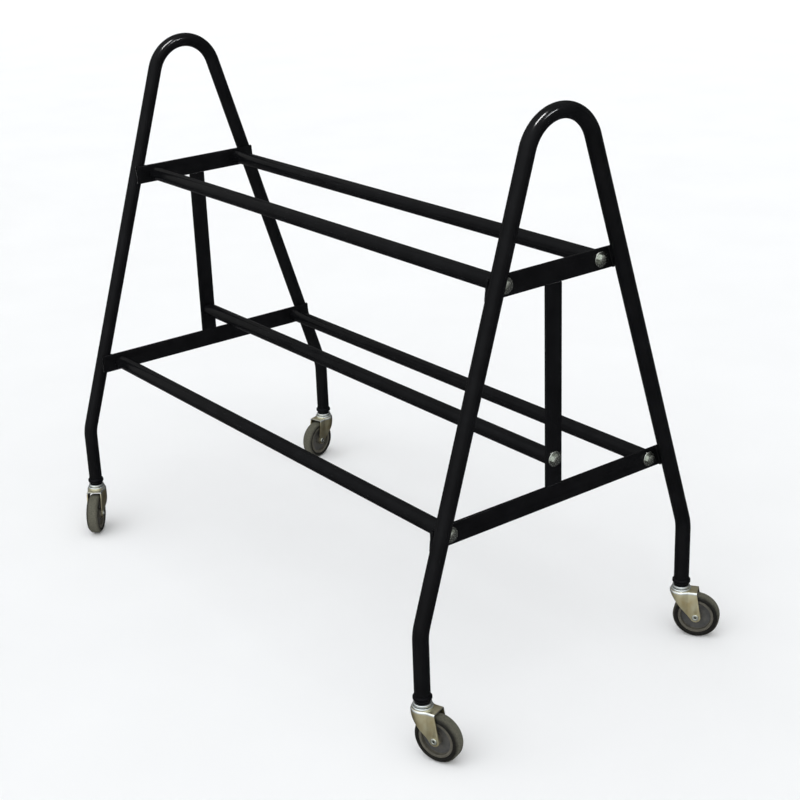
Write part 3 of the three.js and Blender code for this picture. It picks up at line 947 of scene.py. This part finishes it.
# %% Loft the bell over its bend
def bell(inset, top, bend, bottom):
    levels = [(inset, bottom)]
    for k in range(bend_steps + 1):
        turn = math.radians(90 / bend_steps * k)
        levels.append((inset + bend * (1 - math.cos(turn)), top - bend + bend * math.sin(turn)))
    shape = bmesh.new()
    rings = [
        [shape.verts.new((point.x, point.y, height)) for point in fork_plan(level_inset)]
        for level_inset, height in levels
    ]
    for low, high in zip(rings, rings[1:]):
        for k in range(len(low)):
            shape.faces.new((low[k - 1], low[k], high[k], high[k - 1]))
    shape.faces.new(rings[0])
    shape.faces.new(rings[-1])
    return as_mesh(shape, "bell")


# %% Draw the blade that trims the bell to the side view
def tangent_turn(x, z, way):
    away = math.atan2(z - wheel_radius, x - trail)
    return away + way * math.acos(tip_radius / math.hypot(x - trail, z - wheel_radius))


tip_radius = 8.6 * mm
heel = (-crown_radius, crown_top - sheet)
nose = (28.5 * mm, crown_top - sheet - 1 * mm)
behind, above = -26 * mm, 95 * mm
first_turn = tangent_turn(*heel, 1)
last_turn = tangent_turn(*nose, -1) + math.tau
side_view = [(behind, heel[1]), heel]
for k in range(tip_steps + 1):
    turn = first_turn + (last_turn - first_turn) * k / tip_steps
    x, z = trail + tip_radius * math.cos(turn), wheel_radius + tip_radius * math.sin(turn)
    side_view.append((x, z))
side_view += [nose, (nose[0], above), (behind, above)]


def blade(outline, half_depth):
    shape = bmesh.new()
    sides = [[shape.verts.new((x, y, z)) for x, z in outline] for y in (-half_depth, half_depth)]
    for k in range(len(outline)):
        shape.faces.new((sides[0][k - 1], sides[0][k], sides[1][k], sides[1][k - 1]))
    for side in sides:
        shape.faces.new(side)
    return as_mesh(shape, "blade")


# %% Trim, hollow and drill the fork
def drill_profile(radius, low, high):
    return [(0, low), (radius, low), (radius, high), (0, high)]


def carved(mesh, cuts):
    holder = holder_for(mesh)
    tools = []
    for operation, tool in cuts:
        tools.append(holder_for(tool))
        modifier = holder.modifiers.new("cut", "BOOLEAN")
        modifier.operation, modifier.object, modifier.solver = operation, tools[-1], "EXACT"
    result = plain_mesh(holder)
    for tool in tools:
        bpy.data.objects.remove(tool)
    return result


axle_hole = 4.3 * mm
outer_bend, inner_bend = 3 * mm, 1 * mm
pressed = carved(bell(0, crown_top, outer_bend, 12 * mm), [
    ("INTERSECT", blade(side_view, 30 * mm)),
    ("DIFFERENCE", bell(sheet, crown_top - sheet, inner_bend, 6 * mm)),
    ("DIFFERENCE", turned(drill_profile(stem_hole, 60 * mm, 110 * mm), 40)),
    ("DIFFERENCE", lying_across(drill_profile(axle_hole, -40 * mm, 40 * mm), 40)),
])
pressed = worked(pressed, BEVEL=eased(0.4 * mm))
print("pressed sheet:", len(pressed.polygons), "faces")

# %% Add the raised race and put a fork on every caster
race_inner, race_outer = 13.2 * mm, 16.8 * mm
race_root, race_floor, race_top = crown_top - 1 * mm, crown_top + 0.7 * mm, crown_top + 3.1 * mm
race_profile = rounded([
    (stem_hole, race_root, 0), (race_outer, race_root, 0), (race_outer, race_top, 1.3 * mm),
    (race_inner, race_top, 0.6 * mm), (race_inner, race_floor, 0.5 * mm),
    (stem_hole, race_floor, 0),
], 6)


def joined(*meshes):
    whole = bmesh.new()
    for mesh in meshes:
        whole.from_mesh(mesh)
    return as_mesh(whole, "joined", turn_outwards=False)


fork = joined(pressed, turned(race_profile, 72))
on_every_caster("fork_pressing", fork, plating, "swivel", "fork")

# %% [markdown]
# ## Axle rivets and bushings
# A hollow rivet holds each wheel. Its ends are rolled over outside the fork's legs, which
# leaves a small bright ring with a dark hole. A steel bushing sits between the legs, and
# the wheel turns on it.

# %% Turn the rivets and the bushings
rivet_hole, rivet_radius, rivet_head_radius = 1.8 * mm, 4 * mm, 5.8 * mm
shoulder = leg_half_width + 0.3 * mm
rivet_end = shoulder + 1.5 * mm
rivet_profile = rounded(with_mirror_image([
    (rivet_hole, -rivet_end, 0.7 * mm), (rivet_head_radius, -rivet_end, 1.1 * mm),
    (rivet_head_radius, -shoulder, 0.2 * mm), (rivet_radius, -shoulder, 0),
]))
on_every_caster("axle_rivet", lying_across(rivet_profile, 48), zinc, "swivel", "axle")

half_bushing = leg_half_width - sheet - 0.3 * mm
bushing_radius = 6 * mm
bushing_profile = rounded(with_mirror_image([
    (axle_hole, -half_bushing, 0.3 * mm), (bushing_radius, -half_bushing, 0.3 * mm),
]))
bushing = lying_across(bushing_profile, 40)
on_every_caster("wheel_bushing", bushing, zinc, "swivel", "bushing")

# %% [markdown]
# ## Wheel cores
# The wheel's core is moulded in dark grey plastic: a hub, a thin web and a rim. The rim's
# face is painted paler than the web, a painted highlight where the rim catches the light. The
# profile's UV map knows where the rim's face begins, so a ramp along it paints the highlight
# exactly there, and noise breaks it up.

# %% Turn the wheel cores
tyre_inner = wheel_radius - 8.7 * mm
rim_outer, rim_inner = tyre_inner - 0.3 * mm, tyre_inner - 4.9 * mm
hub_inner, hub_outer = bushing_radius + 0.3 * mm, 9.5 * mm
half_hub, half_web, half_rim = half_bushing - 0.4 * mm, 3.5 * mm, 10 * mm
core_profile = rounded(with_mirror_image([
    (hub_inner, -half_hub, 0.4 * mm), (hub_outer, -half_hub, 0.6 * mm),
    (hub_outer, -half_web, 1 * mm), (rim_inner, -half_web, 1.2 * mm),
    (rim_inner, -half_rim, 0.6 * mm), (rim_outer, -half_rim, 0.5 * mm),
]))


def share_where(profile, wanted):
    runs = lengths_along(profile)
    found = [run for run, point in zip(runs, profile) if wanted(point)]
    return min(found), max(found)


def along_profile(tree):
    laid = step(tree, "ShaderNodeUVMap", {}, uv_map="UVMap").outputs["UV"]
    return step(tree, "ShaderNodeSeparateXYZ", {"Vector": laid}).outputs["Y"]


def both_faces(profile, stops):
    bore_starts = lengths_along(profile)[-2]
    return stops + [(bore_starts - place, colour) for place, colour in reversed(stops)]


rim_share = share_where(core_profile, lambda point: point.x > rim_inner - 0.01 * mm)
print("the rim takes the profile from", [round(share, 3) for share in rim_share])

# %% Finish for the cores
core_grey, tree, shader = new_finish("core_plastic", Specular_IOR_Level=0.25)
rim_edge = rim_share[0]
# The paler ring on the rim's face is a painted highlight.
tone_and_rim_highlight = ramp(tree, along_profile(tree), both_faces(core_profile, [
    (0.0, (0.105, 0.094, 0.066)), (0.08, (0.080, 0.077, 0.068)),
    (rim_edge - 0.02, (0.082, 0.082, 0.082)), (rim_edge, (0.100, 0.094, 0.076)),
]))
dust = ramp(tree, noise(tree, 130, 4), [(0.3, (0.72, 0.72, 0.72)), (0.75, (1.15, 1.13, 1.08))])
paint(
    tree, shader,
    blended(tree, 1.0, tone_and_rim_highlight, dust, "MULTIPLY"), spread(tree, noise(tree, 300, 3), 0.38, 0.58),
)
raise_bumps(tree, shader, noise(tree, 1200, 2), 0.02 * mm, 0.4)
core = lying_across(core_profile, 96)
on_every_caster("wheel_centre", core, core_grey, "wheel", "wheel_core")

# %% [markdown]
# ## Tyres
# The tyre is grey rubber, moulded on the core. Its tread is worn to a dusty olive grey by
# the floor, and its sidewall is painted near black, which is painted shade. The same kind of
# ramp tells them apart, with noise along its border so that it has no ruled edge, and fine
# bumps give the moulded skin.

# %% Mould the tyres
half_tyre, tread_corner = 11.7 * mm, 4.6 * mm
tyre_profile = rounded(with_mirror_image([
    (tyre_inner, -half_tyre + 1.5 * mm, 0), (tyre_inner + 1.2 * mm, -half_tyre, 0.8 * mm),
    (wheel_radius - tread_corner, -half_tyre, 1.5 * mm),
    (wheel_radius, -half_tyre + tread_corner, 4.2 * mm),
]), 6)
tread_share = share_where(tyre_profile, lambda point: point.x > wheel_radius - 1.2 * mm)
print("the tread takes the profile from", [round(share, 3) for share in tread_share])

# %% Finish for the rubber
rubber, tree, shader = new_finish("grey_rubber", Specular_IOR_Level=0.12)
tread_edge = tread_share[0]
wander = worked_out(tree, "MULTIPLY_ADD", noise(tree, 180, 4), 0.05, along_profile(tree))
# Pale worn tread, and a near-black sidewall that is painted shade.
worn_tread_and_shade = ramp(tree, wander, both_faces(tyre_profile, [
    (tread_edge - 0.09, (0.011, 0.0105, 0.009)), (tread_edge + 0.02, (0.106, 0.104, 0.082)),
]))
scuffs = ramp(tree, noise(tree, 420, 5), [(0.3, (0.7, 0.7, 0.7)), (0.72, (1.2, 1.18, 1.12))])
paint(
    tree, shader,
    blended(tree, 1.0, worn_tread_and_shade, scuffs, "MULTIPLY"), spread(tree, noise(tree, 350, 4), 0.5, 0.75),
)
raise_bumps(tree, shader, noise(tree, 1000, 4), 0.05 * mm, 0.5)
tyre = lying_across(tyre_profile, 128)
on_every_caster("tyre_ring", tyre, rubber, "wheel", "tyre")

# %% [markdown]
# ## Floor and light
# The cart is shown on a plain pale floor, which curves up into a wall far away, as in a
# photo studio, so that no horizon shows. Steel and enamel show what stands around them, so
# the surroundings are one soft gradient, bright high in front of the cart and dim behind.
# The pale floor is left out of reflections, or every black tube would have a white
# underside. Two strip lamps draw the thin streaks round the bends. They light the enamel
# only, since the same lamps would burn out the bare metal; a studio does it with screens.
# The plain "Standard" view keeps the enamel black, which a film-like view would lift to grey.

# %% Lay the floor
floor_profile = rounded([(0, 0, 0), (16, 0, 5), (18, 6, 0)], 12)
floor_mesh = turned(floor_profile, 96)
for face in floor_mesh.polygons:
    face.use_smooth = True
floor_paint, tree, shader = new_finish("floor_paint", Specular_IOR_Level=0.0, Roughness=0.9)
tree.links.new(
    ramp(tree, noise(tree, 3, 2), [(0.3, (0.90, 0.90, 0.90)), (0.7, (0.92, 0.92, 0.92))]),
    shader.inputs["Base Color"],
)
floor_mesh.materials.append(floor_paint)
floor = bpy.data.objects.new("studio_floor", floor_mesh)
floor.visible_glossy = False
bpy.context.scene.collection.objects.link(floor)


# %% Hang the strip lamps for the enamel
strips_face = cart_middle + Vector((0.5, 0, 0.9))
strip_distance = 4.5
lit_by_strips = bpy.data.collections.new("lit_by_strips")
for piece in pieces.values():
    if piece.data.materials[0] == enamel:
        lit_by_strips.objects.link(piece)


def hang_strip(name, towards, width, length, power, colour):
    away = Vector(towards).normalized()
    along = (Vector((0, 1, 0)) - away * away.y).normalized()
    lamp = bpy.data.lights.new(name, "AREA")
    lamp.shape, lamp.size, lamp.size_y = "RECTANGLE", width, length
    lamp.energy, lamp.color = power, colour
    fitting = bpy.data.objects.new(name, lamp)
    fitting.visible_diffuse = False
    fitting.light_linking.receiver_collection = lit_by_strips
    place = strips_face + away * strip_distance
    turn = Matrix((along.cross(away), along, away)).transposed()
    fitting.matrix_world = Matrix.Translation(place) @ turn.to_4x4()
    bpy.context.scene.collection.objects.link(fitting)


hang_strip("high_strip", (0.25, -0.18, 0.95), 0.85, 2.2, 1300, (1, 1, 1))
hang_strip("side_strip", (0.739, 0.33, 0.629), 0.35, 1.5, 290, (0.95, 0.97, 1))

# %% Light the surroundings
surroundings = bpy.data.worlds.new("studio_room")
surroundings.use_nodes = True
tree = surroundings.node_tree
direction = step(tree, "ShaderNodeTexCoord", {}).outputs["Generated"]
bright_side = Vector((0.28, -0.62, 0.73)).normalized()
facing_it = worked_out(tree, "DOT_PRODUCT", direction, bright_side, kind="ShaderNodeVectorMath")
share = step(tree, "ShaderNodeMapRange", {"Value": facing_it, "From Min": -1.0, "From Max": 1.0})
sky = ramp(tree, share.outputs["Result"], [
    (0.0, (0.030, 0.030, 0.032)), (0.34, (0.045, 0.045, 0.045)), (0.43, (0.075, 0.075, 0.073)),
    (0.54, (0.22, 0.22, 0.21)), (0.68, (0.26, 0.26, 0.26)), (1.0, (0.96, 0.98, 1.0)),
])
background = tree.nodes["Background"]
tree.links.new(sky, background.inputs["Color"])
background.inputs["Strength"].default_value = 2.1
bpy.context.scene.world = surroundings
bpy.context.scene.view_settings.view_transform = "Standard"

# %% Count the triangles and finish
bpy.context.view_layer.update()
triangles = sum(len(face.vertices) - 2 for piece in pieces.values() for face in piece.data.polygons)
print("pieces:", len(pieces), "triangles:", triangles)
